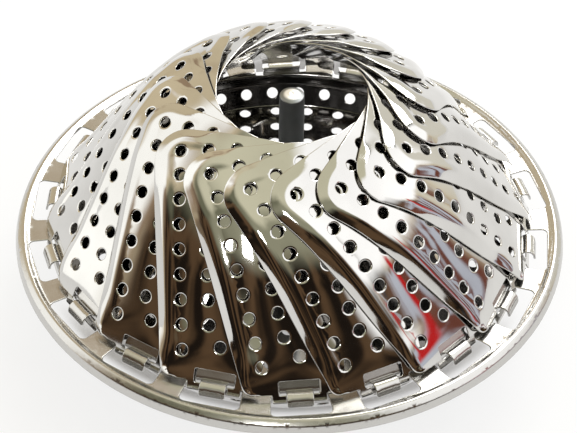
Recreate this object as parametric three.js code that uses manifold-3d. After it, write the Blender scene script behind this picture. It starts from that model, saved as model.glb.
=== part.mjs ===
// Folding steamer insert: eighteen perforated petals hinged on a shallow perforated dish.
// Millimetres, +Z up. The origin is on the ground under the middle of the dish.
import * as THREE from "three";
import { mergeVertices } from "three/addons/utils/BufferGeometryUtils.js";
import Module from "manifold-3d";

const wasm = await Module();
wasm.setup();

// Driving dimensions.
const rimRadius = 82; // outermost rolled edge of the dish
const petalCount = 18;
const firstAzimuth = 13; // degrees, middle of the window of petal_01
const dishSheet = 0.6;
const petalSheet = 0.4;
const fitGap = 0.3; // clearance between pieces that touch
const holeDiameter = 3.4;
const petalHoleSides = 4;
const dishHoleSides = 4;

// Dish, heights measured from the flat top of the flange.
const floorDepth = 10;
const floorCornerRadius = 64.6;
const wallTopRadius = 68.4;
const wallTopDepth = 4.1;
const flangeInnerRadius = 68.9;
const flangeOuterRadius = 77.9;
const beadRadius = 79.4;
const beadHeight = 0.8;
const rimShoulderRadius = 81.1;
const rimShoulderDepth = 0.7;
const rimDrop = 3.4;
const wallHoleCount = 51; // also the facets once round the dish, one to each hole
const wallHoleDepth = 6.4;
const floorHoleCount = 40;
const floorHoleRadius = 62.7;

// Hinges: the petals turn about the middle of a curled tongue.
const hingeRadius = 71.2;
const hingeLift = 0.1; // axis above the flange top
const hingeTwist = 4; // degrees, the petal's line against the tangent
const curlInner = 1.75;
const curlSteps = 4;
const tongueWidth = 7.7;
const tongueTipDrop = 0.95;
const tongueTipStep = 0.35;
const lugWidth = 11.6;
const lugRise = 2.4;
const lugRoot = 0.45;
const windowInnerHalf = 7.95;
const windowOuterHalf = 8.9;
const windowDepth = 5.9; // from the hinge axis outwards
const windowCorner = 1.6;
const windowCornerFacets = 1;

// Petal, as a flat pattern: s runs to the right seen from outside, u runs up from the axis.
const petalLength = 73;
const leanShares = [0, 0.2, 0.45, 0.7, 1];
const leanAngles = [24, 40.7, 38.3, 49.1, 57.5]; // degrees from upright, leaning inwards
const bendShares = [0, 0.08, 0.2, 0.45, 0.75, 1];
const leftBendRadii = [830, 420, 78.4, 37.3, 41.1, 110.7]; // crosswise bend left of the middle
const rightBendRadii = [830, 420, 54, 32.4, 24.0, 33.3]; // and right of it
const sinkShares = [0, 0.003, 0.004, 0.172, 0.195, -0.055]; // sinking to the right, as shares of the run
const facetSpan = 11.5; // no facet of the bent sheet runs further across than this
const footHalf = 7.8; // half width of the tab inside the window
const footDrop = 1.2;
const slotHalf = 5.95;
const slotLow = 1.3;
const slotHigh = 5.5;
const skirtRise = 1.6; // lower edge beside the window
const leftAtAxis = 15.4;
const leftLean = 0.209;
const leftFootCorner = 3.2;
const leftFootFacets = 2;
const kneeRadius = 9;
const kneeFacets = 4;
const rightFoot = 12.6;
const rightWaist = 13.2;
const rightWaistRise = 10;
const rightBend = 13.4;
const rightBendRise = 48;
const rightTip = 11;
const rightFootCorner = 2;
const rightTipCorner = 3;
const spine = 1; // the sheet is also split along this line, where it bends crosswise
const tipStops = [6, spine, -5, -11, -17.5]; // and its top edge at these places
const lipDepth = 0.8;
const lipWidth = 2;
const lipFadeFrom = 22; // the turned-in edge dies away between these two places
const lipFadeTo = 12;
const lipFootRise = 10;
const topRowLeft = 20.9;
const topRowRise = 65.9;
const rowPitch = 7;
const columnPitch = 8;
const rowClimbShare = 0.1625; // each row climbs this share of its run to the right
const columnLeanShare = 0.187; // each column leans by this share of its run down
const columnRows = [9, 8, 1]; // holes down each column, from the left edge inwards
const bandRows = [0, 1, 3, 5, 7, 8]; // rows below which the sheet is split into bands
const slotHoleSide = 0.4;
const slotHoleRise = 12.5;

// Post, nut and legs.
const postRadius = 3.65;
const postTopRise = 52.2;
const postDomeRise = 0.8;
const domeShare = 0.6;
const postCollarRadius = 6;
const postCollarHeight = 1.2;
const postStudRadius = 2.4;
const postStudLength = 5.6;
const postSides = 16;
const washerRadius = 7;
const washerThick = 1;
const nutRadius = 4.6;
const nutThick = 3;
const nutSides = 6;
const footHeight = 22; // clear height below the floor sheet
const legAzimuths = [90, 210, 330];
const legAxisRadius = 44;
const legAxisDrop = 4;
const legWidth = 12;
const legSheet = 1.2;
const legFold = 6; // length of the foot pad
const pinRadius = 1.2;
const pinSides = 8;
const bracketSheet = 1;
const bracketHalf = 5;
const barrelFacets = 6;

const rad = THREE.MathUtils.degToRad;
const flangeTop = footHeight + dishSheet + floorDepth;
const hingeHeight = flangeTop + hingeLift;
const floorTop = flangeTop - floorDepth;
const steps = (count) => [...Array(count).keys()];

// A closed geometry as a solid that can be joined and cut.
function toSolid(geometry) {
  const bare = geometry.clone();
  bare.deleteAttribute("normal");
  bare.deleteAttribute("uv");
  const merged = mergeVertices(bare);
  return new wasm.Manifold(
    new wasm.Mesh({
      numProp: 3,
      vertProperties: new Float32Array(merged.attributes.position.array),
      triVerts: new Uint32Array(merged.index.array),
    }),
  );
}

// A solid back as a geometry.
function toGeometry(solid) {
  const mesh = solid.getMesh();
  const geometry = new THREE.BufferGeometry();
  const positions = new Float32Array(mesh.vertProperties);
  geometry.setAttribute("position", new THREE.BufferAttribute(positions, mesh.numProp));
  geometry.setIndex(new THREE.BufferAttribute(mesh.triVerts, 1));
  geometry.computeVertexNormals();
  return geometry;
}

// A closed outline with rounded corners, each given as [x, y, radius, facets of the round].
function roundedOutline(corners) {
  return corners.flatMap(([x, y, radius = 0, facets = 1], i) => {
    const here = new THREE.Vector2(x, y);
    if (radius === 0) return [here];
    const [beforeX, beforeY] = corners.at(i - 1);
    const [afterX, afterY] = corners[(i + 1) % corners.length];
    const back = new THREE.Vector2(beforeX, beforeY).sub(here).normalize();
    const ahead = new THREE.Vector2(afterX, afterY).sub(here).normalize();
    const half = Math.acos(back.dot(ahead)) / 2;
    const middle = back.clone().add(ahead).normalize();
    const centre = here.clone().addScaledVector(middle, radius / Math.sin(half));
    const start = here.clone().addScaledVector(back, radius / Math.tan(half)).sub(centre);
    const turn = (Math.PI - 2 * half) * Math.sign(ahead.cross(back));
    return steps(facets + 1).map((k) => {
      return start.clone().rotateAround(new THREE.Vector2(), (turn * k) / facets).add(centre);
    });
  });
}

// The petal's middle line at height u of its flat pattern: how far inward, how far up, and its lean.
// Between two turning points the lean changes evenly, so each stretch is an arc.
function profileAt(u) {
  const below = Math.min(u, 0);
  let lean = rad(leanAngles[0]);
  let inward = below * Math.sin(lean);
  let up = below * Math.cos(lean);
  for (let i = 1; i < leanShares.length; i++) {
    const start = leanShares[i - 1] * petalLength;
    const whole = leanShares[i] * petalLength - start;
    const run = Math.min(u - start, whole);
    if (run <= 0) break;
    const next = lean + ((rad(leanAngles[i]) - lean) * run) / whole;
    inward += (run * (Math.cos(lean) - Math.cos(next))) / (next - lean);
    up += (run * (Math.sin(next) - Math.sin(lean))) / (next - lean);
    lean = next;
  }
  return { inward, up, lean };
}

// A point of the petal's sheet: side is +1 on the outer face and -1 on the inner one. Up the petal, the
// bend and the sinking change evenly between the heights of their tables.
function petalPoint({ s, u, lip }, side) {
  const { inward, up, lean } = profileAt(u);
  const share = Math.max(u, 0) / petalLength;
  const after = Math.max(bendShares.findIndex((height) => height >= share), 1);
  const t = (share - bendShares[after - 1]) / (bendShares[after] - bendShares[after - 1]);
  const radii = s < 0 ? leftBendRadii : rightBendRadii;
  const bend = (1 - t) / radii[after - 1] + t / radii[after];
  const sink = (1 - t) * sinkShares[after - 1] + t * sinkShares[after];
  const drop = (bend * s ** 2) / 2 + sink * s + lip - (side * petalSheet) / 2;
  return new THREE.Vector3(s, inward + drop * Math.cos(lean), up - drop * Math.sin(lean));
}

// How much of the turned-in edge an outline point has: none at the foot and none on the right.
function lipShare({ x, y }) {
  const across = THREE.MathUtils.smoothstep(-x, lipFadeTo, lipFadeFrom);
  return across * THREE.MathUtils.smoothstep(y, skirtRise, lipFootRise);
}

function petalOutline() {
  const leftAt = (u) => -leftAtAxis - leftLean * u;
  return roundedOutline([
    [-footHalf, -footDrop],
    [footHalf, -footDrop],
    [footHalf, skirtRise],
    [rightFoot, skirtRise, rightFootCorner],
    [rightWaist, rightWaistRise],
    [rightBend, rightBendRise],
    [rightTip, petalLength, rightTipCorner],
    ...tipStops.map((stop) => [stop, petalLength]),
    [leftAt(petalLength), petalLength, kneeRadius, kneeFacets],
    [leftAt(skirtRise), skirtRise, leftFootCorner, leftFootFacets],
    [-footHalf, skirtRise],
  ]);
}

// Position of a point across the hole rows, which climb to the right.
const rowPlace = (s, u) => u - rowClimbShare * s;

// The place that lies a share t of the way from one place of the flat pattern to another.
function between(a, b, t) {
  return { s: a.s + (b.s - a.s) * t, u: a.u + (b.u - a.u) * t, lip: a.lip + (b.lip - a.lip) * t };
}

// Pairs of outline point and the point where the turned-in edge starts, split where the bands meet.
function petalBorder(cuts) {
  const outline = petalOutline();
  const pairs = outline.map((point, i) => {
    const along = outline[(i + 1) % outline.length].clone().sub(outline.at(i - 1)).normalize();
    const share = lipShare(point);
    return {
      edge: { s: point.x, u: point.y, lip: lipDepth * share },
      fold: { s: point.x - along.y * lipWidth * share, u: point.y + along.x * lipWidth * share, lip: 0 },
    };
  });
  return pairs.flatMap((pair, i) => {
    const next = pairs[(i + 1) % pairs.length];
    const from = rowPlace(pair.fold.s, pair.fold.u);
    const to = rowPlace(next.fold.s, next.fold.u);
    const crossed = cuts.map((cut) => (cut - from) / (to - from)).filter((t) => t > 0 && t < 1);
    crossed.sort((a, b) => a - b);
    const added = crossed.map((t) => {
      return { edge: between(pair.edge, next.edge, t), fold: between(pair.fold, next.fold, t) };
    });
    return [pair, ...added];
  });
}

// The petal's openings: rows of round holes, one hole above the slot, and the slot itself.
function petalOpenings() {
  const round = (s, u) =>
    steps(petalHoleSides).map((k) => {
      const angle = (2 * Math.PI * k) / petalHoleSides + Math.PI / 2;
      const reach = holeDiameter / 2;
      return { s: s + reach * Math.cos(angle), u: u + reach * Math.sin(angle), lip: 0 };
    });
  const grid = columnRows.flatMap((rows, column) =>
    steps(rows).map((row) =>
      round(
        -topRowLeft + column * columnPitch + row * rowPitch * columnLeanShare,
        topRowRise + column * columnPitch * rowClimbShare - row * rowPitch,
      ),
    ),
  );
  const slot = [
    { s: -slotHalf, u: slotLow, lip: 0 },
    { s: slotHalf, u: slotLow, lip: 0 },
    { s: slotHalf, u: slotHigh, lip: 0 },
    { s: -slotHalf, u: slotHigh, lip: 0 },
  ];
  return [...grid, round(slotHoleSide, slotHoleRise), slot];
}

// A band's outline with a point added where each of its long edges crosses the spine.
function withSpine(loop, longEdge) {
  return loop.flatMap((point, i) => {
    const next = loop[(i + 1) % loop.length];
    const t = (spine - point.s) / (next.s - point.s);
    const crosses = t > 0 && t < 1 && Math.abs(next.s - point.s) > longEdge;
    return crosses ? [point, { ...between(point, next, t), s: spine }] : [point];
  });
}

// The facet a, b, c of the flat pattern, cut into facets that follow the crosswise bend. Whether an edge
// is halved depends on that edge alone, so the facets on its two sides still meet.
function bentFacets(a, b, c) {
  const spread = (p, q) => (Math.min(p.u, q.u) > slotHigh ? Math.abs(p.s - q.s) : 0);
  const turns = [[a, b, c], [b, c, a], [c, a, b]];
  const [from, to, other] = turns.reduce((wide, next) => (spread(...next) > spread(...wide) ? next : wide));
  if (spread(from, to) <= facetSpan) return [[a, b, c]];
  const middle = between(from, to, 1 / 2);
  return [...bentFacets(from, middle, other), ...bentFacets(middle, to, other)];
}

// One petal in its own frame: x along the hinge, y inward, z up, the hinge axis through the origin.
function petalGeometry() {
  const rowStep = rowPitch * (1 + rowClimbShare * columnLeanShare);
  const topRow = rowPlace(-topRowLeft, topRowRise);
  const cuts = bandRows.map((row) => topRow - (row + 1 / 2) * rowStep);
  const border = petalBorder(cuts);
  const openings = petalOpenings();
  const corners = [];
  const face = (a, b, c) => {
    corners.push(petalPoint(a, 1), petalPoint(b, 1), petalPoint(c, 1));
    corners.push(petalPoint(a, -1), petalPoint(c, -1), petalPoint(b, -1));
  };
  const wall = (a, b) => {
    corners.push(petalPoint(a, 1), petalPoint(a, -1), petalPoint(b, -1));
    corners.push(petalPoint(a, 1), petalPoint(b, -1), petalPoint(b, 1));
  };
  const tops = [Infinity, ...cuts];
  const floors = [...cuts, -Infinity];
  const tiny = petalSheet / 1000;
  tops.forEach((top, band) => {
    const inside = ({ s, u }) => rowPlace(s, u) < top + tiny && rowPlace(s, u) > floors[band] - tiny;
    const rim = withSpine(border.map((pair) => pair.fold).filter(inside), 2 * footHalf);
    const cutOuts = openings.filter((loop) => loop.every(inside));
    const whole = cutOuts.some((loop) => loop.some(({ s }) => s < spine) && loop.some(({ s }) => s > spine));
    const sides = whole ? [() => true] : [({ s }) => s <= spine, ({ s }) => s >= spine];
    sides.forEach((side) => {
      const loops = [rim.filter(side), ...cutOuts.filter((loop) => loop.every(side))];
      const [contour, ...holes] = loops.map((loop) => loop.map(({ s, u }) => new THREE.Vector2(s, u)));
      const points = loops.flat();
      THREE.ShapeUtils.triangulateShape(contour, holes).forEach(([a, b, c]) => {
        bentFacets(points[a], points[b], points[c]).forEach((facet) => face(...facet));
      });
    });
  });
  border.forEach(({ edge, fold }, i) => {
    const next = border[(i + 1) % border.length];
    if (edge.lip > 0) face(edge, next.fold, fold);
    if (next.edge.lip > 0) face(edge, next.edge, next.fold);
    wall(edge, next.edge);
  });
  openings.forEach((loop) => loop.forEach((point, i) => wall(loop[(i + 1) % loop.length], point)));
  const geometry = mergeVertices(new THREE.BufferGeometry().setFromPoints(corners), petalSheet / 1000);
  geometry.computeVertexNormals();
  return geometry;
}

// A profile of [radius, height] turned about the upright axis. It runs outward along its underside
// and back along its top.
function turned(profile, facets) {
  const line = profile.map(([r, h]) => new THREE.Vector2(r, h));
  return new THREE.LatheGeometry([...line, line[0]], facets).rotateX(Math.PI / 2);
}

// A flat outline given a thickness along z, its lower face at the given height.
function plate(outline, thickness, height = 0, holes = []) {
  const shape = new THREE.Shape(outline);
  shape.holes = holes.map((hole) => new THREE.Path(hole));
  return new THREE.ExtrudeGeometry(shape, { depth: thickness, bevelEnabled: false }).translate(0, 0, height);
}

// A side outline of [inward, up] points given a width along the hinge, centred on the petal's middle.
function across(outline, width) {
  const shape = new THREE.Shape(outline.map(([inward, up]) => new THREE.Vector2(inward, up)));
  const geometry = new THREE.ExtrudeGeometry(shape, { depth: width, bevelEnabled: false });
  return geometry.translate(0, 0, -width / 2).rotateZ(Math.PI / 2).rotateY(Math.PI / 2);
}

// Matrix that takes a petal's own frame to its place on the dish.
function hingePlace(index) {
  const azimuth = rad(firstAzimuth + (index * 360) / petalCount);
  const turn = new THREE.Matrix4().makeRotationZ(azimuth + rad(90 + hingeTwist));
  return turn.setPosition(hingeRadius * Math.cos(azimuth), hingeRadius * Math.sin(azimuth), hingeHeight);
}

// The rings of the dish from the floor's edge out to the rim, as [radius, height] on the face that
// looks up and on the one that looks down.
const dishRings = [
  { up: [floorCornerRadius, -floorDepth], down: [floorCornerRadius, -floorDepth - dishSheet] },
  { up: [wallTopRadius, -wallTopDepth], down: [wallTopRadius + dishSheet, -wallTopDepth] },
  { up: [flangeInnerRadius, 0], down: [flangeInnerRadius + dishSheet, -dishSheet] },
  { up: [flangeOuterRadius, 0], down: [flangeOuterRadius, -dishSheet] },
  { up: [beadRadius, beadHeight], down: [beadRadius, beadHeight - dishSheet] },
  {
    up: [rimShoulderRadius, -rimShoulderDepth],
    down: [rimShoulderRadius - dishSheet, -rimShoulderDepth - dishSheet / 2],
  },
  { up: [rimRadius, -rimDrop], down: [rimRadius - dishSheet, -rimDrop] },
];

// A point of the dish's sheet: turn counts facets round the dish, ring counts rings outward, and both
// may lie between two whole numbers. Facets are flat, so points between are worked out straight.
function dishPoint({ turn, ring }, face) {
  const corner = (t, k) => {
    const [radius, height] = dishRings[k][face];
    const angle = (2 * Math.PI * t) / wallHoleCount;
    return new THREE.Vector3(radius * Math.cos(angle), radius * Math.sin(angle), height + flangeTop);
  };
  const whole = Math.floor(turn);
  const side = (k) => corner(whole, k).lerp(corner(whole + 1, k), turn - whole);
  const inner = Math.floor(ring);
  return ring === inner ? side(inner) : side(inner).lerp(side(inner + 1), ring - inner);
}

// A round loop of the sheet's own places about a middle place.
function loopOfPlaces(sides, placeAt) {
  return steps(sides).map((k) => placeAt((2 * Math.PI * k) / sides));
}

// The sheet of the dish with its holes: a flat floor, a slanted wall with one hole in each facet, and
// plain rings for the flange and the rolled rim.
function dishShell() {
  const corners = [];
  const both = (pointOf, a, b, c) => {
    corners.push(pointOf(a, "up"), pointOf(b, "up"), pointOf(c, "up"));
    corners.push(pointOf(a, "down"), pointOf(c, "down"), pointOf(b, "down"));
  };
  const wall = (pointOf, a, b) => {
    corners.push(pointOf(a, "up"), pointOf(a, "down"), pointOf(b, "down"));
    corners.push(pointOf(a, "up"), pointOf(b, "down"), pointOf(b, "up"));
  };
  const sheet = (pointOf, flatOf, rim, holes) => {
    const points = [...rim, ...holes.flat()];
    const flatHoles = holes.map((hole) => hole.map(flatOf));
    THREE.ShapeUtils.triangulateShape(rim.map(flatOf), flatHoles).forEach(([a, b, c]) => {
      both(pointOf, points[a], points[b], points[c]);
    });
    holes.forEach((hole) => hole.forEach((point, i) => wall(pointOf, hole[(i + 1) % hole.length], point)));
  };

  const floorPoint = ({ x, y }, face) => {
    return new THREE.Vector3(x, y, face === "up" ? floorTop : floorTop - dishSheet);
  };
  const circle = (sides, radius, x = 0) =>
    loopOfPlaces(sides, (angle) => new THREE.Vector2(x + radius * Math.cos(angle), radius * Math.sin(angle)));
  const floorHoles = steps(floorHoleCount).map((k) =>
    circle(dishHoleSides, holeDiameter / 2, floorHoleRadius).map((point) =>
      point.rotateAround(new THREE.Vector2(), (2 * Math.PI * (k + 1 / 2)) / floorHoleCount),
    ),
  );
  const stud = circle(nutSides * 2, postStudRadius + fitGap);
  sheet(floorPoint, (point) => point, circle(wallHoleCount, floorCornerRadius), [...floorHoles, stud]);

  const facetWidth = (2 * Math.PI * wallTopRadius) / wallHoleCount;
  const wallRun = Math.hypot(wallTopRadius - floorCornerRadius, floorDepth - wallTopDepth);
  const climb = (floorDepth - wallHoleDepth) / (floorDepth - wallTopDepth);
  steps(wallHoleCount).forEach((k) => {
    const facet = [
      { turn: k, ring: 0 },
      { turn: k, ring: 1 },
      { turn: k + 1, ring: 1 },
      { turn: k + 1, ring: 0 },
    ].reverse();
    const hole = loopOfPlaces(dishHoleSides, (angle) => ({
      turn: k + 1 / 2 + ((holeDiameter / 2) * Math.cos(angle)) / facetWidth,
      ring: climb + ((holeDiameter / 2) * Math.sin(angle)) / wallRun,
    })).reverse();
    sheet(dishPoint, ({ turn, ring }) => new THREE.Vector2(-turn, ring), facet, [hole]);
    steps(dishRings.length - 2).forEach((n) => {
      const near = [{ turn: k, ring: n + 1 }, { turn: k + 1, ring: n + 1 }];
      const far = [{ turn: k, ring: n + 2 }, { turn: k + 1, ring: n + 2 }];
      both(dishPoint, near[0], far[0], far[1]);
      both(dishPoint, near[0], far[1], near[1]);
    });
    const last = dishRings.length - 1;
    wall(dishPoint, { turn: k, ring: last }, { turn: k + 1, ring: last });
  });
  return new THREE.BufferGeometry().setFromPoints(corners);
}

// The window in the flange under one petal, as a cutter in the petal's frame.
function windowCutter() {
  const outline = roundedOutline([
    [-windowInnerHalf, curlInner],
    [-windowOuterHalf, -windowDepth, windowCorner, windowCornerFacets],
    [windowOuterHalf, -windowDepth, windowCorner, windowCornerFacets],
    [windowInnerHalf, curlInner],
  ]);
  return plate(outline, 3 * dishSheet, -2 * dishSheet - hingeLift);
}

// The lug bent up at the window's inner edge, and the tongue that curls over the petal's lower strip.
function lug() {
  const outer = curlInner + dishSheet;
  const stand = across(
    [
      [curlInner, -lugRoot],
      [outer, -lugRoot],
      [outer, lugRise],
      [curlInner, lugRise],
    ],
    lugWidth,
  );
  const arc = (radius) => steps(curlSteps + 1).map((k) => {
    const angle = (Math.PI * k) / curlSteps;
    return [radius * Math.cos(angle), radius * Math.sin(angle)];
  });
  const tongue = across(
    [
      [outer, -lugRoot],
      ...arc(outer),
      [-outer - tongueTipStep, -tongueTipDrop],
      [-curlInner - tongueTipStep, -tongueTipDrop],
      ...arc(curlInner).reverse(),
      [curlInner, -lugRoot],
    ],
    tongueWidth,
  );
  return toSolid(stand).add(toSolid(tongue));
}

function dishGeometry() {
  const hinges = steps(petalCount).map(hingePlace);
  const cutter = windowCutter();
  const windows = hinges.map((hinge) => toSolid(cutter.clone().applyMatrix4(hinge)));
  const shell = toSolid(dishShell()).subtract(wasm.Manifold.union(windows));
  const single = toGeometry(lug());
  const lugs = hinges.map((hinge) => toSolid(single.clone().applyMatrix4(hinge)));
  return toGeometry(wasm.Manifold.union([shell, ...lugs]));
}

// The post: a stud below the floor, a collar on it, the straight shank and a slightly domed top.
function postGeometry() {
  const foot = floorTop + fitGap;
  const top = flangeTop + postTopRise;
  return turned(
    [
      [0, foot - postStudLength],
      [postStudRadius, foot - postStudLength],
      [postStudRadius, foot],
      [postCollarRadius, foot],
      [postCollarRadius, foot + postCollarHeight],
      [postRadius, foot + postCollarHeight],
      [postRadius, top - postDomeRise],
      [postRadius * domeShare, top - postDomeRise * (1 - domeShare)],
      [0, top],
    ],
    postSides,
  );
}

// A ring with a round bore, lying flat with its lower face at z = 0.
function ring(radius, sides, thickness) {
  const bore = circleOutline(postStudRadius + fitGap, nutSides * 2);
  return plate(circleOutline(radius, sides), thickness, 0, [bore]);
}

const washerTop = floorTop - dishSheet - fitGap;
const nutTop = washerTop - washerThick - fitGap;

// Legs stand in their own frame: x outward from the dish axis, y along the pin, z up from the pin.
const pinHeight = floorTop - dishSheet - legAxisDrop;
const pinBore = pinRadius + fitGap;
const barrelRadius = pinBore + legSheet;

// A round outline about the origin of a piece's own drawing plane.
function circleOutline(radius, sides) {
  return steps(sides).map((k) => {
    const angle = (2 * Math.PI * k) / sides;
    return new THREE.Vector2(radius * Math.cos(angle), radius * Math.sin(angle));
  });
}

// A side outline of [outward, up] points made into a plate of the given width, upright and centred on y = 0.
function upright(outline, width, holes = []) {
  const points = outline.map(([x, z]) => new THREE.Vector2(x, z));
  return plate(points, width, 0, holes).rotateX(Math.PI / 2).translate(0, width / 2, 0);
}

// The bracket under the floor: a flat top, two ears that carry the pin and a tab that stops the leg upright.
function bracketGeometry() {
  const between = legWidth + 2 * fitGap;
  const roof = legAxisDrop - fitGap;
  const ceiling = roof - bracketSheet;
  const ear = pinBore + bracketSheet;
  const outline = [
    [-bracketHalf, roof],
    [-bracketHalf, ceiling],
    [-ear, -ear],
    [ear, -ear],
    [bracketHalf, ceiling],
    [bracketHalf, roof],
  ];
  const side = upright(outline, bracketSheet, [circleOutline(pinBore, pinSides)]);
  const reach = (between + bracketSheet) / 2;
  const top = new THREE.BoxGeometry(2 * bracketHalf, between + bracketSheet, bracketSheet);
  const stop = new THREE.BoxGeometry(bracketSheet, between + bracketSheet, roof + pinBore);
  const pieces = [
    side.clone().translate(0, reach, 0),
    side.clone().translate(0, -reach, 0),
    top.translate(0, 0, roof - bracketSheet / 2),
    stop.translate(barrelRadius + fitGap + bracketSheet / 2, 0, (roof - pinBore) / 2),
  ];
  return toGeometry(wasm.Manifold.union(pieces.map(toSolid)));
}

// The leg: a barrel rolled round the pin, an upright strip outside it and a foot folded outward.
function legGeometry() {
  const outer = barrelRadius;
  const inner = barrelRadius - legSheet;
  const curl = steps(barrelFacets + 1).map((k) => {
    const angle = rad((270 * k) / barrelFacets);
    return [outer * Math.cos(angle), outer * Math.sin(angle)];
  });
  const outline = [
    [inner, -pinHeight],
    [inner + legFold, -pinHeight],
    [inner + legFold, legSheet - pinHeight],
    [outer, legSheet - pinHeight],
    ...curl,
    [inner, -outer],
  ];
  return upright(outline, legWidth, [circleOutline(pinBore, pinSides)]);
}

// The pin through the ears and the leg's barrel, with a head at each end.
function pinGeometry() {
  const reach = legWidth / 2 + 2 * fitGap + bracketSheet;
  const head = pinRadius + fitGap + bracketSheet / 2;
  return turned(
    [
      [0, -reach - bracketSheet],
      [head, -reach - bracketSheet],
      [head, -reach],
      [pinRadius, -reach],
      [pinRadius, reach],
      [head, reach],
      [head, reach + bracketSheet],
      [0, reach + bracketSheet],
    ],
    pinSides,
  ).rotateX(Math.PI / 2);
}

// Looks: polished sheet for the dish and petals, a duller post, plain steel for the hidden parts.
const steel = (color, roughness) => new THREE.MeshStandardMaterial({ color, roughness, metalness: 1 });
const looks = {
  dish: () => steel(0xc9c2b8, 0.22),
  petal: () => steel(0xc4bbb0, 0.14),
  post: () => steel(0x9a9794, 0.5),
  plain: () => steel(0xb4b2af, 0.35),
};

const steamer = new THREE.Group();
function place(name, geometry, material, parent = steamer) {
  const mesh = new THREE.Mesh(geometry, material);
  mesh.name = name;
  parent.add(mesh);
  return mesh;
}

place("dish", dishGeometry(), looks.dish());
const petal = petalGeometry();
steps(petalCount).forEach((index) => {
  const hinge = new THREE.Group();
  hinge.applyMatrix4(hingePlace(index));
  steamer.add(hinge);
  place("petal_" + String(index + 1).padStart(2, "0"), petal.clone(), looks.petal(), hinge);
});
place("centre_post", postGeometry(), looks.post());
const washer = ring(washerRadius, postSides, washerThick).translate(0, 0, washerTop - washerThick);
place("post_washer", washer, looks.plain());
const nut = ring(nutRadius, nutSides, nutThick).translate(0, 0, nutTop - nutThick);
place("post_nut", nut, looks.plain());
legAzimuths.forEach((azimuth, index) => {
  const station = new THREE.Group();
  station.rotation.z = rad(azimuth);
  const seat = new THREE.Group();
  seat.position.set(legAxisRadius, 0, pinHeight);
  station.add(seat);
  steamer.add(station);
  place("leg_bracket_" + (index + 1), bracketGeometry(), looks.plain(), seat);
  place("leg_" + (index + 1), legGeometry(), looks.plain(), seat);
  place("leg_pin_" + (index + 1), pinGeometry(), looks.plain(), seat);
});

export default steamer;
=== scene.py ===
"""Folding steamer insert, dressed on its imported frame.

Lengths in this file are millimetres until a mesh is made; the frame is in metres.
"""

import bpy
import numpy as np
from mathutils import Matrix, Vector
from mathutils.geometry import delaunay_2d_cdt


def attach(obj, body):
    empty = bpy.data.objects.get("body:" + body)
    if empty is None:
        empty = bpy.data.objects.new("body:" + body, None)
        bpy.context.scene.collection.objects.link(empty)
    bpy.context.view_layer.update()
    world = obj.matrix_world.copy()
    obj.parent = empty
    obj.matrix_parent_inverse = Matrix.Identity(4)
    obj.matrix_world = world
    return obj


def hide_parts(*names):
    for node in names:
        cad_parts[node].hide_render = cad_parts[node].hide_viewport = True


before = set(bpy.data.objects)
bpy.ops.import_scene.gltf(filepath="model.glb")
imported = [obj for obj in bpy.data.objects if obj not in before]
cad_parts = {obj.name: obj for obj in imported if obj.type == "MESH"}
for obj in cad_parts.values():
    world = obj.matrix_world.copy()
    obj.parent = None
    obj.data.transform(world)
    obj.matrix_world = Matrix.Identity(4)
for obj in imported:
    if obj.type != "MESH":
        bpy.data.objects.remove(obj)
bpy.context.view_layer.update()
MM = 0.001

# Measures shared with the solids, and their angles in degrees.
FLANGE_TOP = 32.6
FLOOR_TOP = 22.6
DISH_SHEET = 0.6
PETAL_SHEET = 0.4
HOLE_RADIUS = 1.7
PETALS = 18
FIRST_AZIMUTH = 13
HINGE_RADIUS = 71.2
HINGE_HEIGHT = 32.7
HINGE_TWIST = 4
PETAL_LENGTH = 73
LEG_AZIMUTHS = (90, 210, 330)
LEG_RADIUS = 44
PIN_HEIGHT = 18.0
FIT_GAP = 0.3
WASHER_RADIUS = 7
WASHER_THICK = 1
NUT_THICK = 3
POST_TOP = FLANGE_TOP + 52.2


def unit(vectors):
    """Each row divided by its length."""
    return vectors / np.linalg.norm(vectors, axis=-1, keepdims=True)


def smooth_share(value, start, end):
    """0 before start, 1 after end, and an even S curve between them."""
    share = np.clip((np.asarray(value, float) - start) / (end - start), 0, 1)
    return share * share * (3 - 2 * share)


def rounded(corners, closed=True, turn=np.radians(9)):
    """The line through corners of (x, y, radius), each made an arc that touches both its sides."""
    places = np.array([corner[:2] for corner in corners], float)
    line = []
    for i, corner in enumerate(corners):
        radius = corner[2] if len(corner) > 2 else 0
        at_end = not closed and i in (0, len(corners) - 1)
        if radius == 0 or at_end:
            line.append(places[i][None])
            continue
        back = unit(places[i - 1] - places[i])
        ahead = unit(places[(i + 1) % len(corners)] - places[i])
        half = np.arccos(np.clip(back @ ahead, -1, 1)) / 2
        centre = places[i] + unit(back + ahead) * radius / np.sin(half)
        start = places[i] + back * radius / np.tan(half) - centre
        whole = (np.pi - 2 * half) * np.sign(ahead[0] * back[1] - ahead[1] * back[0])
        angle = np.linspace(0, whole, max(2, int(np.ceil(abs(whole) / turn)) + 1))
        x = start[0] * np.cos(angle) - start[1] * np.sin(angle)
        y = start[0] * np.sin(angle) + start[1] * np.cos(angle)
        line.append(centre + np.stack([x, y], -1))
    return np.concatenate(line)


def run_along(path):
    """The length along a path up to each of its points."""
    return np.concatenate([[0], np.cumsum(np.linalg.norm(np.diff(path, axis=0), axis=1))])


def spaced(line, spacing, closed=True):
    """The same line with extra points, so that no straight run is longer than spacing."""
    ahead = np.roll(line, -1, axis=0) if closed else line[1:]
    start = line if closed else line[:-1]
    counts = np.ceil(np.linalg.norm(ahead - start, axis=1) / spacing).astype(int).clip(1)
    run = np.repeat(np.arange(len(start)), counts)
    first = np.cumsum(counts) - counts
    share = ((np.arange(len(run)) - first[run]) / counts[run])[:, None]
    points = start[run] + (ahead[run] - start[run]) * share
    return points if closed else np.concatenate([points, line[-1:]])


def circle(x, y, radius, count=20):
    """A round loop, clockwise, as the edge of a hole."""
    angle = -np.arange(count) * 2 * np.pi / count
    return np.stack([x + radius * np.cos(angle), y + radius * np.sin(angle)], -1)


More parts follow.
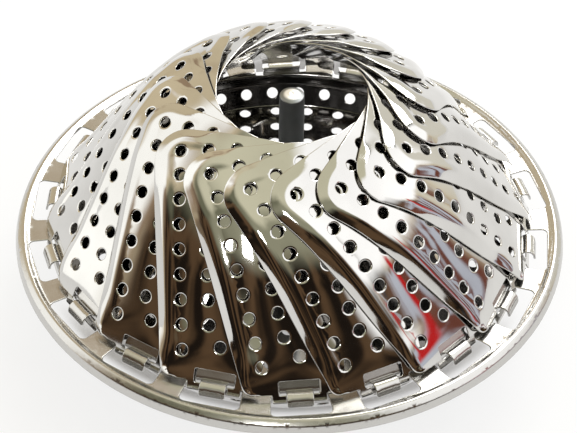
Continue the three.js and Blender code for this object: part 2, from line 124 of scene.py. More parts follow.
def inwards(loop):
    """The way into the sheet at each point of a loop with the sheet on its left, longer at corners."""
    along = unit(np.roll(loop, -1, axis=0) - loop)
    left = np.stack([-along[:, 1], along[:, 0]], -1)
    mean = unit(left + np.roll(left, 1, axis=0))
    return mean / np.sum(mean * left, axis=1)[:, None].clip(0.6)


def inside(points, loop):
    """Whether points lie in a loop: a line to their right then crosses it an odd number of times."""
    a, b = loop, np.roll(loop, -1, axis=0)
    x, y = points[:, 0][:, None], points[:, 1][:, None]
    spans = (a[:, 1] > y) != (b[:, 1] > y)
    rise = np.where(a[:, 1] == b[:, 1], 1, b[:, 1] - a[:, 1])
    crossing = a[:, 0] + (y - a[:, 1]) * (b[:, 0] - a[:, 0]) / rise
    return (np.sum(spans & (x < crossing), axis=1) % 2).astype(bool)


class Pattern:
    """A flat piece of sheet with its openings, split into triangles.

    Beside every edge run three rows of points: on the edge, where the sheet has no thickness, then at 45
    degrees round the edge's half circle, then where the sheet is full. Points of a grid fill the rest.
    Where into is zero the outline isn't an edge: the sheet goes on there in another pattern. half is half
    the sheet's thickness, spacing the grid's, and extra holds rows of points for finer bends.
    """

    BESIDE_EDGE = 3  # a fourth row lies this many half thicknesses from the edge
    CLEAR_OF_EDGE = 2.6  # and no other point comes nearer than this many

    def __init__(self, outline, holes, half, spacing, extra=(), into=None):
        loops = [outline, *holes]
        place, lift, edge, links = [], [], [], []
        count = 0
        rows = [(0, 0), (half * (1 - np.sqrt(0.5)), np.sqrt(0.5)), (half, 1)]
        beside = []
        for k, loop in enumerate(loops):
            inner = inwards(loop) if k or into is None else into
            size = np.linalg.norm(inner, axis=1)
            for inset, height in rows:
                place.append(loop + inner * inset)
                lift.append(np.where(size > 0, height, 1))
                edge.append(-inner / size.clip(1e-9)[:, None])
                ring = count + np.arange(len(loop))
                links.append(np.stack([ring, np.roll(ring, -1)], -1))
                count += len(loop)
            beside.append((loop + inner * half * self.BESIDE_EDGE)[size > 0])
        grid = self.filling(loops, [*extra, *beside], half, spacing)
        place.append(grid)
        lift.append(np.ones(len(grid)))
        edge.append(np.zeros((len(grid), 2)))
        place = np.concatenate(place)
        pairs = np.concatenate(links)
        made = delaunay_2d_cdt([Vector(p) for p in place.tolist()], pairs.tolist(), [], 0, 1e-7, True)
        self.place = np.array([tuple(v) for v in made[0]])
        nearest = lambda point: np.linalg.norm(place - point, axis=1).argmin()
        source = np.array([ids[0] if ids else nearest(point) for point, ids in zip(self.place, made[3])])
        self.lift = np.concatenate(lift)[source]
        self.edge = np.concatenate(edge)[source]
        faces = np.array([face for face in made[2] if len(face) == 3])
        faces = faces[self.lift[faces].max(1) > 0]
        a, b, c = (self.place[faces[:, k]] for k in range(3))
        area = (b[:, 0] - a[:, 0]) * (c[:, 1] - a[:, 1]) - (b[:, 1] - a[:, 1]) * (c[:, 0] - a[:, 0])
        self.faces = np.where((area < 0)[:, None], faces[:, ::-1], faces)
        self.half = half

    def filling(self, loops, extra, half, spacing):
        """The points of a grid and the extra points that lie in the sheet, clear of its edges."""
        outline, *holes = loops
        border = np.concatenate(loops)
        low, high = outline.min(0), outline.max(0)
        columns, lines = np.ceil((high - low) / spacing).astype(int)
        x, y = np.meshgrid(np.arange(columns + 1), np.arange(lines + 1))
        grid = low + np.stack([x + (y % 2) / 2, y], -1).reshape(-1, 2) * spacing
        clear = [np.full(len(grid), half * self.BESIDE_EDGE + spacing * 0.3)]
        clear += [np.full(len(points), half * self.CLEAR_OF_EDGE) for points in extra]
        grid = np.concatenate([grid, *extra])
        clear = np.concatenate(clear)
        keep = inside(grid, outline)
        grid, clear = grid[keep], clear[keep]
        for part in np.array_split(np.arange(len(border)), max(1, len(border) // 200)):
            far = np.linalg.norm(grid[:, None] - border[part][None], axis=2).min(1) > clear
            grid, clear = grid[far], clear[far]
        for hole in holes:
            grid = grid[~inside(grid, hole)]
        return grid


def sheet(pattern, surface):
    """Points, faces and normals of a pattern laid on a surface, which turns flat places to 3-D points.

    The outer face is the surface moved half the sheet's thickness along its normal, the inner face the
    same the other way, and the two meet at the edges in a half circle.
    """
    step = 0.01
    middle = surface(pattern.place)
    east = surface(pattern.place + [step, 0]) - surface(pattern.place - [step, 0])
    north = surface(pattern.place + [0, step]) - surface(pattern.place - [0, step])
    normal = unit(np.cross(east, north))
    aside = pattern.edge[:, :1] * east + pattern.edge[:, 1:] * north
    aside = aside / np.linalg.norm(aside, axis=1, keepdims=True).clip(1e-12)
    lift = pattern.lift[:, None]
    level = aside * np.sqrt(1 - lift**2)
    under = np.flatnonzero(pattern.lift > 0)
    lower = np.arange(len(middle))
    lower[under] = len(middle) + np.arange(len(under))
    rise = normal * lift * pattern.half
    points = np.concatenate([middle + rise, (middle - rise)[under]])
    shades = np.concatenate([normal * lift + level, (level - normal * lift)[under]])
    faces = np.concatenate([pattern.faces, lower[pattern.faces[:, ::-1]]])
    return points, faces, shades


def turned(profile, count=64, radius_at=None):
    """Points and faces of a (radius, height) profile, from axis to axis, turned about the upright axis.

    A point of the grid is (r cos a, r sin a, h); radius_at may change r by the angle.
    """
    angle = np.arange(count) * 2 * np.pi / count
    r, h = profile[1:-1, 0][:, None], profile[1:-1, 1][:, None]
    r = r * np.ones(count) if radius_at is None else radius_at(r, angle)
    ring = np.stack([r * np.cos(angle), r * np.sin(angle), h * np.ones(count)], -1).reshape(-1, 3)
    ends = np.array([[0, 0, profile[0, 1]], [0, 0, profile[-1, 1]]])
    row, k = np.meshgrid(np.arange(len(profile) - 3), np.arange(count), indexing="ij")
    a, b = row * count + k, row * count + (k + 1) % count
    c, d = b + count, a + count
    halves = [np.stack(corners, -1).reshape(-1, 3) for corners in ([a, b, c], [a, c, d])]
    k = np.arange(count)
    after = (k + 1) % count
    low, high = len(ring) + np.zeros(count, int), len(ring) + 1 + np.zeros(count, int)
    top = (len(profile) - 3) * count
    caps = np.concatenate([np.stack([low, after, k], -1), np.stack([high, top + k, top + after], -1)])
    return np.concatenate([ring, ends]), np.concatenate([*halves, caps])


def moved(points, angle, place):
    """Points turned about the upright axis, then moved."""
    c, s = np.cos(angle), np.sin(angle)
    return points @ np.array([[c, s, 0], [-s, c, 0], [0, 0, 1]]) + place


def joined(parts):
    """Several (points, faces, normals) as one."""
    points, faces, shades = zip(*parts)
    offsets = np.cumsum([0] + [len(part) for part in points[:-1]])
    faces = [part + offset for part, offset in zip(faces, offsets)]
    return np.concatenate(points), np.concatenate(faces), np.concatenate(shades)


def piece(name, shape, material, body, slot, *nodes):
    """Puts a shape in millimetres into the scene as one finished piece that rides on a body."""
    points, faces = shape[:2]
    mesh = bpy.data.meshes.new(name)
    mesh.vertices.add(len(points))
    mesh.vertices.foreach_set("co", (points * MM).astype(np.float32).ravel())
    mesh.loops.add(faces.size)
    mesh.loops.foreach_set("vertex_index", faces.astype(np.int32).ravel())
    mesh.polygons.add(len(faces))
    mesh.polygons.foreach_set("loop_start", np.arange(0, faces.size, 3, dtype=np.int32))
    mesh.polygons.foreach_set("use_smooth", np.ones(len(faces), bool))
    mesh.update(calc_edges=True)
    if len(shape) > 2:
        mesh.normals_split_custom_set_from_vertices(shape[2].astype(np.float32))
    mesh.materials.append(material)
    made = bpy.data.objects.new(name, mesh)
    bpy.context.scene.collection.objects.link(made)
    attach(made, body)
    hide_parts(*nodes)
    return made


# Petal: the flat pattern, then the surface that it is pressed to.
HEIGHTS = np.linspace(-16, PETAL_LENGTH + 16, 2101)
BEND_SHARES = [0, 0.08, 0.2, 0.45, 0.75, 1]


def eased(shares, values, reach=11):
    """Values along the petal: straight lines between those at the shares, with each corner eased."""
    straight = np.interp(HEIGHTS, np.array(shares) * PETAL_LENGTH, values)
    width = int(reach / (HEIGHTS[1] - HEIGHTS[0])) | 1
    weight = np.hanning(width + 2)[1:-1]
    return np.convolve(np.pad(straight, width // 2, mode="edge"), weight / weight.sum(), mode="valid")


lean = eased([0, 0.2, 0.45, 0.7, 1], np.radians([24, 39.2, 38.3, 49.1, 57.5]))
left_bend = eased(BEND_SHARES, 1 / np.array([830, 420, 78.4, 37.3, 41.1, 110.7]))
right_bend = eased(BEND_SHARES, 1 / np.array([830, 420, 54.0, 32.4, 24.0, 33.3]))
sink = eased(BEND_SHARES, [0, 0.003, 0.004, 0.172, 0.195, -0.055])
run = np.diff(HEIGHTS, prepend=HEIGHTS[0])
inward = np.cumsum(np.sin((lean + np.roll(lean, 1)) / 2) * run)
upward = np.cumsum(np.cos((lean + np.roll(lean, 1)) / 2) * run)
inward -= np.interp(0, HEIGHTS, inward)
upward -= np.interp(0, HEIGHTS, upward)


FOOT_HALF = 7.8
SHOULDER = 1.6
EDGE_SPACING = 0.8


def petal_outline():
    """The petal's edge from outside: from its foot round the right side, the tip and the left side."""
    left = lambda u: -15.4 - 0.209 * u
    corners = [
        (-FOOT_HALF, -1.2, 0.5),
        (FOOT_HALF, -1.2, 0.5),
        (FOOT_HALF, SHOULDER, 0.7),
        (12.6, SHOULDER, 2),
        (13.2, 10, 40),
        (13.4, 48, 60),
        (11, PETAL_LENGTH, 3),
        (left(PETAL_LENGTH), PETAL_LENGTH, 9),
        (left(SHOULDER), SHOULDER, 3.2),
        (-FOOT_HALF, SHOULDER, 0.7),
    ]
    return spaced(rounded(corners), EDGE_SPACING)


# The top hole of the left column, the step to the next column, and the step down a column.
TOP_HOLE = (-20.9, 65.9)
COLUMN_STEP = (8, 1.3)
ROW_STEP = (7 * 0.187, -7)
ROWS = 9


def petal_holes():
    """Centres of the holes: two leaning columns, one more beside their top and one above the slot."""
    steps = [(column, row) for row in range(ROWS) for column in (0, 1)][:-1] + [(2, 0)]
    centres = np.array(TOP_HOLE) + np.array(steps) @ np.array([COLUMN_STEP, ROW_STEP])
    return np.concatenate([centres, [[0.4, 12.5]]])


OUTLINE = petal_outline()
EDGE_FROM = np.roll(OUTLINE, -1, axis=0)
LIP_SHARE = smooth_share(-OUTLINE[:, 0], 10, 18)


def lip_drop(place):
    """How far the rolled edge drops at a place.

    It drops by 0.8 mm at the edge, and up to 1.2 mm half-way up, dying away as a square over 3 mm, less
    a ridge 0.3 (1 - t^2)^2 mm high, t from -1 to 1 across the 5.8 mm about a line 3.6 mm from the edge.
    """
    a = OUTLINE
    ab = EDGE_FROM - a
    drop = np.zeros(len(place))
    for part in np.array_split(np.arange(len(place)), 1 + len(place) // 500):
        p = place[part][:, None]
        t = np.clip(np.sum((p - a) * ab, axis=2) / np.sum(ab * ab, axis=1), 0, 1)
        gap = np.linalg.norm(p - a - ab * t[..., None], axis=2)
        nearest = gap.argmin(1)
        pick = np.arange(len(part))
        along, gap = t[pick, nearest], gap[pick, nearest]
        share = LIP_SHARE[nearest] * (1 - along) + np.roll(LIP_SHARE, -1)[nearest] * along
        u = place[part, 1]
        depth = 0.8 + 0.4 * smooth_share(u, 12, 24) * (1 - smooth_share(u, 42, 54))
        ridge = 0.3 * smooth_share(u, 5, 16) * (1 - np.clip((gap - 3.6) / 2.9, -1, 1) ** 2) ** 2
        drop[part] = share * (depth * (1 - np.clip(gap / (3 * share + 0.01), 0, 1)) ** 2 - ridge)
    return drop


def petal_surface(place):
    """The middle of the petal's sheet at places s across and u up the flat pattern.

    The place u lies on a profile that leans inwards. From there the sheet drops by bend s^2 / 2 + sink s,
    by the rolled edge's drop, and by 0.16 (1 - t)^2 mm round each hole, t from 0 to 1 over the 0.5 mm
    beside it, as a punch leaves it.
    """
    s, u = place[:, 0], place[:, 1]
    bend = np.where(s < 0, np.interp(u, HEIGHTS, left_bend), np.interp(u, HEIGHTS, right_bend))
    border = np.linalg.norm(place[:, None] - petal_holes(), axis=2).min(1) - HOLE_RADIUS
    punched = 0.16 * (1 - np.clip(border / 0.5, 0, 1)) ** 2
    drop = bend * s ** 2 / 2 + np.interp(u, HEIGHTS, sink) * s + lip_drop(place) + punched
    angle = np.interp(u, HEIGHTS, lean)
    y = np.interp(u, HEIGHTS, inward) + drop * np.cos(angle)
    z = np.interp(u, HEIGHTS, upward) - drop * np.sin(angle)
    return np.stack([s, y, z], -1)


def petal_shape():
    """The petal, and for each of its points 1 on the inner face and 0 elsewhere."""
    holes = [circle(s, u, HOLE_RADIUS) for s, u in petal_holes()]
    slot = rounded([(-5.95, 1.3, 0.6), (-5.95, 5.5, 0.6), (5.95, 5.5, 0.6), (5.95, 1.3, 0.6)])
    near = inwards(OUTLINE)
    rows = [(OUTLINE + near * d)[LIP_SHARE > 0] for d in (0.9, 1.3, 1.8, 2.4, 3, 3.6, 4.2, 4.8, 5.4, 6)]
    pattern = Pattern(OUTLINE, [*holes, spaced(slot, EDGE_SPACING)], PETAL_SHEET / 2, 1.5, rows)
    shape = sheet(pattern, petal_surface)
    return shape, (np.arange(len(shape[0])) >= len(pattern.place)).astype(np.float32)


def hinge_place(index):
    """The turn of a petal about the upright axis, and the middle of its hinge."""
    azimuth = np.radians(FIRST_AZIMUTH + index * 360 / PETALS)
    place = np.array([HINGE_RADIUS * np.cos(azimuth), HINGE_RADIUS * np.sin(azimuth), HINGE_HEIGHT])
    return azimuth + np.radians(90 + HINGE_TWIST), place


def placed(shape, angle, place):
    """A shape with its normals turned and moved."""
    points, faces, shades = shape
    return moved(points, angle, place), faces, moved(shades, angle, 0)


# Dish: a profile of (radius, height above the flange) along the middle of its sheet, out to the rim.
PROFILE = spaced(
    rounded(
        [
            (50, -10.3),
            (64.7, -10.3, 1.4),
            (68.7, -4.1, 3),
            (69.2, -0.3, 0.9),
            (77.9, -0.3, 2),
            (79.4, 0.55, 0.9),
            (81.0, -0.8, 1),
            (81.7, -3.3, 0.7),
            (80.2, -4.0, 0.5),
            (79.6, -3.2),
        ],
        closed=False,
        turn=np.radians(6),
    ),
    0.5,
    closed=False,
)
PROFILE_RUN = run_along(PROFILE)
SEAM = np.radians(63.25)
FLOOR_EDGE = 59.1
PATTERN_RADIUS = 70


def run_at(radius):
    """The length along the profile at a radius, on the floor or on the flange."""
    rising = PROFILE[:, 0] < 78.5
    return np.interp(radius, PROFILE[rising, 0], PROFILE_RUN[rising])


# A low ring is pressed into the floor round the place where each leg is fixed.
SEAT_RING = 16.3
RIDGE_HALF = 0.8
azimuths = np.radians(LEG_AZIMUTHS)
SEATS = LEG_RADIUS * np.stack([np.cos(azimuths), np.sin(azimuths)], -1)


def seat_ridge(flat):
    """How high the rings rise at places of the floor: 0.3 (1 - t^2)^2 mm, t from -1 to 1 across one."""
    away = [np.abs(np.linalg.norm(flat - seat, axis=1) - SEAT_RING) for seat in SEATS]
    return 0.3 * (1 - np.clip(np.min(away, axis=0) / RIDGE_HALF, 0, 1) ** 2) ** 2


def floor_surface(place):
    """A place is (x, y); it lies at the middle of the floor's sheet, raised by the rings."""
    return np.concatenate([place, (FLOOR_TOP - DISH_SHEET / 2 + seat_ridge(place))[:, None]], axis=1)


def dish_surface(place):
    """A place is (length along the profile, length round the dish).

    It lies at (r cos a, r sin a, h), with r and h the profile's, h raised by the rings, and a its length
    round the dish over the radius at which such lengths are drawn.
    """
    radius = np.interp(place[:, 0], PROFILE_RUN, PROFILE[:, 0])
    height = np.interp(place[:, 0], PROFILE_RUN, PROFILE[:, 1]) + FLANGE_TOP
    angle = place[:, 1] / PATTERN_RADIUS + SEAM
    flat = radius[:, None] * np.stack([np.cos(angle), np.sin(angle)], -1)
    return np.concatenate([flat, (height + seat_ridge(flat))[:, None]], axis=1)


def dish_hole(run, angle, radius):
    """A round hole of the wall or floor, in lengths along and round the dish."""
    loop = circle(0, 0, HOLE_RADIUS, 16)
    round_dish = ((angle - SEAM) % (2 * np.pi)) * PATTERN_RADIUS
    return np.stack([run + loop[:, 0], round_dish + loop[:, 1] * PATTERN_RADIUS / radius], -1)


def in_pattern(flat):
    """Points of the floor or flange, by x and y, as lengths along and round the dish."""
    turn = (np.arctan2(flat[:, 1], flat[:, 0]) - SEAM) % (2 * np.pi)
    return np.stack([run_at(np.hypot(flat[:, 0], flat[:, 1])), turn * PATTERN_RADIUS], -1)


def window(index):
    """The opening in the flange under a petal, in lengths along and round the dish."""
    corners = [(-7.95, 1.75, 0.3), (-8.9, -5.9, 1.6), (8.9, -5.9, 1.6), (7.95, 1.75, 0.3)]
    loop = spaced(rounded(corners), 0.9)[::-1]
    angle, place = hinge_place(index)
    flat = moved(np.concatenate([loop, np.zeros((len(loop), 1))], axis=1), angle, place)
    return clockwise(in_pattern(flat))


def clockwise(loop):
    """The same loop, turned round if it runs anticlockwise."""
    after = np.roll(loop, -1, axis=0)
    area = np.sum(loop[:, 0] * after[:, 1] - loop[:, 1] * after[:, 0])
    return loop if area < 0 else loop[::-1]


def strip(outline, half, path, spacing=1.0, holes=()):
    """A strip of sheet: outline in (across, along), bent along a path of (inward, up) points."""
    length = run_along(path)

    def surface(place):
        y = np.interp(place[:, 1], length, path[:, 0])
        z = np.interp(place[:, 1], length, path[:, 1])
        return np.stack([place[:, 0], y, z], -1)

    return sheet(Pattern(spaced(rounded(outline), spacing), list(holes), half, spacing), surface)


def welded(shape):
    """The same shape with points that lie on each other made one."""
    points, faces, shades = shape
    keep, index = np.unique(np.round(points, 3), axis=0, return_index=True, return_inverse=True)[1:]
    faces = index.reshape(-1)[faces]
    whole = (faces[:, 0] != faces[:, 1]) & (faces[:, 1] != faces[:, 2]) & (faces[:, 2] != faces[:, 0])
    return points[keep], faces[whole], shades[keep]


# Rings of holes in the floor: (radius, holes in the ring, turn of the ring in degrees).
OUTER_RING = (62.7, 40, 4.5)
FLOOR_RINGS = [
    (55.5, 36, 5),
    (48.5, 30, 0),
    (41.5, 26, 5),
    (34.5, 20, 0),
    (27.5, 16, 8),
    (20.5, 12, 0),
    (13.5, 8, 10),
]
WALL_RING = (67.1, 51)
WALL_RING_HEIGHT = -6.4
DISH_SPACING = 1.4


def ring_angles(count, turn):
    """The directions of a ring's holes."""
    return [np.radians(turn + k * 360 / count) for k in range(count)]


def dish_shape():
    """The band from the outer ring of holes to the rim and the floor inside it, welded together."""
    whole = 2 * np.pi * PATTERN_RADIUS
    start, end = run_at(FLOOR_EDGE), PROFILE_RUN[-1]
    corners = [(start, 0), (end, 0), (end, whole), (start, whole)]
    outline = spaced(np.array(corners, float), DISH_SPACING)
    into = np.where(outline[:, :1] > end - 1e-6, [[-1.0, 0.0]], [[0.0, 0.0]])
    climbing = (PROFILE[:, 0] < 69) & (PROFILE[:, 1] < -1)
    wall_run = np.interp(WALL_RING_HEIGHT, PROFILE[climbing, 1], PROFILE_RUN[climbing])
    radius, count = WALL_RING
    wall = [dish_hole(wall_run, at, radius) for at in ring_angles(count, 180 / count)]
    radius, *ring = OUTER_RING
    outer = [dish_hole(run_at(radius), at, radius) for at in ring_angles(*ring)]
    windows = [window(k) for k in range(PETALS)]
    around = spaced(np.array([[0, 0], [0, whole]]), DISH_SPACING, closed=False)
    between = PROFILE_RUN[(PROFILE_RUN > start + 1) & (PROFILE_RUN < end - 1)]
    rows = [around + [at, DISH_SPACING / 2] for at in between[::2]]
    asides = RIDGE_HALF * np.array([-1, -0.5, 0, 0.5, 1])
    rings = np.concatenate([circle(*seat, SEAT_RING + aside, 90) for seat in SEATS for aside in asides])
    reach = np.linalg.norm(rings, axis=1)
    rows.append(in_pattern(rings[reach > FLOOR_EDGE + 0.4]))
    band = Pattern(outline, [*wall, *outer, *windows], DISH_SHEET / 2, 1.6, rows, into)

    angle = SEAM + np.arange(len(around) - 1) * 2 * np.pi / (len(around) - 1)
    edge = np.stack([FLOOR_EDGE * np.cos(angle), FLOOR_EDGE * np.sin(angle)], -1)
    holes = [circle(0, 0, 2.7, 24)]
    for radius, *ring in FLOOR_RINGS:
        for at in ring_angles(*ring):
            holes.append(circle(radius * np.cos(at), radius * np.sin(at), HOLE_RADIUS, 14))
    rings = [rings[reach < FLOOR_EDGE - 0.4]]
    floor = Pattern(edge, holes, DISH_SHEET / 2, 3.2, rings, np.zeros_like(edge))
    return welded(joined([sheet(band, dish_surface), sheet(floor, floor_surface)]))


def straight(half_width, length, foot, end):
    """The outline of a straight strip, by (across, along, corner radius), rounded at foot and end."""
    near = [(-half_width, 0, foot), (half_width, 0, foot)]
    return near + [(half_width, length, end), (-half_width, length, end)]


# The tongue's half circle about the hinge, and the place (inward, up) where it leaves the flange.
CURL_RADIUS = 2.05
CURL_FOOT = (CURL_RADIUS, -0.45)


def hinge_shape():
    """The lug bent up beside a window, and the tongue that curls from it over the petal's foot.

    The tongue follows 2.05 (cos t, sin t) mm inward and up from the hinge, t from 0 to half a turn.
    """
    half, spacing = DISH_SHEET / 2, 0.7
    rising = rounded([CURL_FOOT, (CURL_RADIUS, 1.4, 1.5), (4.3, 4.1)], closed=False)
    lug = strip(straight(5.8, 5.1, 0.4, 0.9), half, rising, spacing)
    angle = np.linspace(0, np.pi, 19)
    curl = CURL_RADIUS * np.stack([np.cos(angle), np.sin(angle)], -1)
    path = np.concatenate([[CURL_FOOT], curl, [[-2.4, -0.95]]])
    tongue = strip(straight(3.85, run_along(path)[-1], 0.4, 0.8), half, path, spacing)
    return joined([lug, tongue])


def with_shades(points, faces):
    """A shape with a normal for each point from the faces round it, for pieces with rounded corners."""
    a, b, c = (points[faces[:, k]] for k in range(3))
    normal = np.cross(b - a, c - a)
    total = np.zeros_like(points)
    for k in range(3):
        np.add.at(total, faces[:, k], normal)
    return points, faces, unit(total)


def rounded_profile(corners):
    """A profile of (radius, height, corner radius) from the axis to the axis."""
    return rounded(corners, closed=False, turn=np.radians(15))


def post_shape():
    """The stud under the floor, the collar on it, the shank and its domed top with a centre mark."""
    foot, top = FLOOR_TOP + FIT_GAP, POST_TOP
    corners = [
        (0, foot - 5.6),
        (2.4, foot - 5.6, 0.4),
        (2.4, foot, 0.1),
        (6, foot, 0.3),
        (6, foot + 1.2, 0.4),
        (3.65, foot + 1.2, 0.3),
        (3.65, top - 0.8, 0.5),
        (2.2, top - 0.3, 3),
        (0.7, top - 0.05, 0.2),
        (0.45, top - 0.25, 0.1),
        (0, top - 0.3),
    ]
    line = rounded_profile(corners)
    return with_shades(*turned(spaced(line, 1.5, closed=False), 72))


def washer_shape(height):
    """A flat ring, with its edges rounded."""
    top = height + WASHER_THICK
    corners = [(0, height), (WASHER_RADIUS, height, 0.25), (WASHER_RADIUS, top, 0.25), (0, top)]
    return with_shades(*turned(spaced(rounded_profile(corners), 1.2, closed=False), 64))


def nut_shape(height):
    """A six-sided nut: the radius at an angle is the hexagon's, cut back by the cone of its chamfer."""

    corner_radius = 4.6

    def radius_at(r, angle):
        side = (angle + np.pi / 6) % (np.pi / 3) - np.pi / 6
        hexagon = corner_radius * np.cos(np.pi / 6) / np.cos(side)
        return np.minimum(r, hexagon)

    top, chamfer = height + NUT_THICK, 0.4
    side = [(3.9, height), (4.65, height + chamfer), (4.65, top - chamfer), (3.9, top)]
    corners = np.array([(0, height), *side, (0, top)])
    return with_shades(*turned(spaced(corners, 0.4, closed=False), 96, radius_at))


def turned_flat(shape):
    """A shape drawn across and inward, laid along x instead of y, still facing outward."""
    points, faces, shades = shape
    return points[:, [1, 0, 2]], faces[:, ::-1], shades[:, [1, 0, 2]]


def leg_shape():
    """The leg: a barrel rolled round its pin, a straight strip outside it and a foot folded outward.

    The barrel follows 2.1 (cos t, sin t) mm about the pin through three quarters of a turn.
    """
    radius, half = 2.1, 0.6
    roll = np.radians(np.linspace(270, 0, 31))
    barrel = radius * np.stack([np.cos(roll), np.sin(roll)], -1)
    sole = half - PIN_HEIGHT
    down = rounded([(radius, 0), (radius, sole, 1.2), (7.5, sole)], closed=False)
    path = np.concatenate([barrel, down[1:]])
    return turned_flat(strip(straight(6, run_along(path)[-1], 0.8, 2), half, path))


def pin_shape():
    """A pin with a head at each end, along y."""
    half = [(0, 8.6), (2.0, 8.6, 0.4), (2.0, 7.6, 0.1), (1.2, 7.6, 0.1)]
    corners = [(r, -h, *rest) for r, h, *rest in half] + half[::-1]
    points, faces, shades = with_shades(*turned(spaced(rounded_profile(corners), 1.5, closed=False), 28))
    return points[:, [0, 2, 1]], faces[:, ::-1], shades[:, [0, 2, 1]]


def bracket_shape():
    """The bracket: a flat top, two ears folded down that carry the pin, and a tab that stops the leg."""
    reach, top, half = 7.1, 3.2, 0.5
    path = rounded([(-reach, -2.5), (-reach, top, 0.9), (reach, top, 0.9), (reach, -2.5)], closed=False)
    length = run_along(path)[-1]
    ear, wide, start = 2.5, 5, 5.2
    outline = [
        (-ear, 0, 2),
        (ear, 0, 2),
        (wide, start, 0.7),
        (wide, length - start, 0.7),
        (ear, length, 2),
        (-ear, length, 2),
        (-wide, length - start, 0.7),
        (-wide, start, 0.7),
    ]
    holes = [circle(0, at, 1.5, 18) for at in (ear, length - ear)]
    channel = strip(outline, half, path, 1.0, holes)
    rising = np.array([[3.5, -1.5], [3.5, top]])
    tab = strip(straight(reach, run_along(rising)[-1], 0.8, 0.6), half, rising)
    return joined([channel, turned_flat(tab)])


class Value:
    """A number that varies over a surface. Arithmetic on it adds the Math nodes that work it out."""

    def __init__(self, finish, socket):
        self.finish, self.socket = finish, socket

    def math(self, operation, *values):
        return self.finish.node("ShaderNodeMath", {"operation": operation}, dict(enumerate(values)))

    def __add__(self, other):
        return self.math("ADD", self, other)

    def __sub__(self, other):
        return self.math("SUBTRACT", self, other)

    def __rsub__(self, other):
        return self.math("SUBTRACT", other, self)

    def __mul__(self, other):
        return self.math("MULTIPLY", self, other)

    __radd__, __rmul__ = __add__, __mul__

    def between(self, low, high, start=0.0, end=1.0):
        """start below low, end above high, and an even change between them."""
        values = {"Value": self, "From Min": low, "From Max": high, "To Min": start, "To Max": end}
        return self.finish.node("ShaderNodeMapRange", {"interpolation_type": "SMOOTHSTEP"}, values)


class Finish:
    """The node tree of one material or of the world."""

    def __init__(self, owner):
        owner.use_nodes = True
        self.tree = owner.node_tree
        self.tree.nodes.clear()

    def node(self, kind, settings=None, values=None, output=0):
        made = self.tree.nodes.new(kind)
        for name, setting in (settings or {}).items():
            setattr(made, name, setting)
        for name, value in (values or {}).items():
            if isinstance(value, Value):
                self.tree.links.new(value.socket, made.inputs[name])
            else:
                made.inputs[name].default_value = value
        return Value(self, made.outputs[output]) if made.outputs else None

    def mixed(self, share, first, second):
        """A colour between two, by share."""
        return self.node("ShaderNodeMix", {"data_type": "RGBA"}, {0: share, 6: first, 7: second}, 2)

    def place(self, kind="Object"):
        """The x, y and z of a place on the piece, or of a direction in the world if kind is Generated."""
        point = self.node("ShaderNodeTexCoord", {}, {}, kind)
        return [self.node("ShaderNodeSeparateXYZ", {}, {"Vector": point}, k) for k in range(3)]

    def noise(self, scale, detail=2.0, stretch=(1, 1, 1), seed=0.0, kind="Object"):
        """Smooth noise from 0 to 1 that keeps its place on the piece, scaled by stretch on each axis."""
        point = self.node("ShaderNodeTexCoord", {}, {}, kind)
        values = {"Vector": point, "Scale": stretch, "Location": (seed, seed, seed)}
        mapped = self.node("ShaderNodeMapping", {}, values)
        return self.node("ShaderNodeTexNoise", {}, {"Vector": mapped, "Scale": scale, "Detail": detail})


def steel(name, colour, shade, roughness, wave, grain, zone=None):
    """Stainless sheet: its colour clouds towards shade, and its roughness runs between two values.

    Its surface has shallow waves left by pressing and a fine polishing grain, both in metres of depth. A
    zone is (a function that gives its share from the finish, its colour, the roughness added there).
    """
    material = bpy.data.materials.new(name)
    finish = Finish(material)
    cloud = finish.noise(38, 4)
    smudge = finish.noise(150, 5, seed=3)
    scratch = finish.noise(420, 3, (1, 1, 0.15), 7)
    gloss = (cloud * 0.6 + smudge * 0.4).between(0.35, 0.7, *roughness)
    tint = finish.mixed(cloud.between(0.3, 0.7), (*colour, 1), (*shade, 1))
    relief = finish.noise(26, 1, seed=11) * wave + scratch * grain
    bump = finish.node("ShaderNodeBump", {}, {"Height": relief, "Distance": 1.0, "Strength": 1.0})
    if zone:
        share_of, zone_colour, added = zone
        share = share_of(finish)
        tint = finish.mixed(share, tint, (*zone_colour, 1))
        gloss = gloss + share * added
    values = {"Base Color": tint, "Metallic": 1.0, "Roughness": gloss, "Normal": bump}
    shader = finish.node("ShaderNodeBsdfPrincipled", {}, values)
    finish.node("ShaderNodeOutputMaterial", {}, {"Surface": shader})
    return material


def painted_shade_inner_face(finish):
    """1 on the petals' inner faces, from the mark that their points carry; the zone's darker colour there
    is painted shade.
    """
    return finish.node("ShaderNodeAttribute", {"attribute_name": "inner"}, {}, "Fac")


def flange(finish):
    """1 on the dish beyond the flange's inner bend, and on the lugs that stand above the flange; the darker
    well within is painted shade.
    """
    x, y, z = finish.place()
    beyond = (x * x + y * y).between((69.2 * MM) ** 2, (69.7 * MM) ** 2)
    low = z.between((FLANGE_TOP + 0.1) * MM, (FLANGE_TOP + 0.3) * MM, 1, 0)
    return 1 - (1 - beyond) * low


def painted_highlight_top(finish):
    """1 on the post's turned top, which the zone pales as a painted highlight."""
    return finish.place()[2].between((POST_TOP - 0.5) * MM, (POST_TOP - 0.2) * MM)
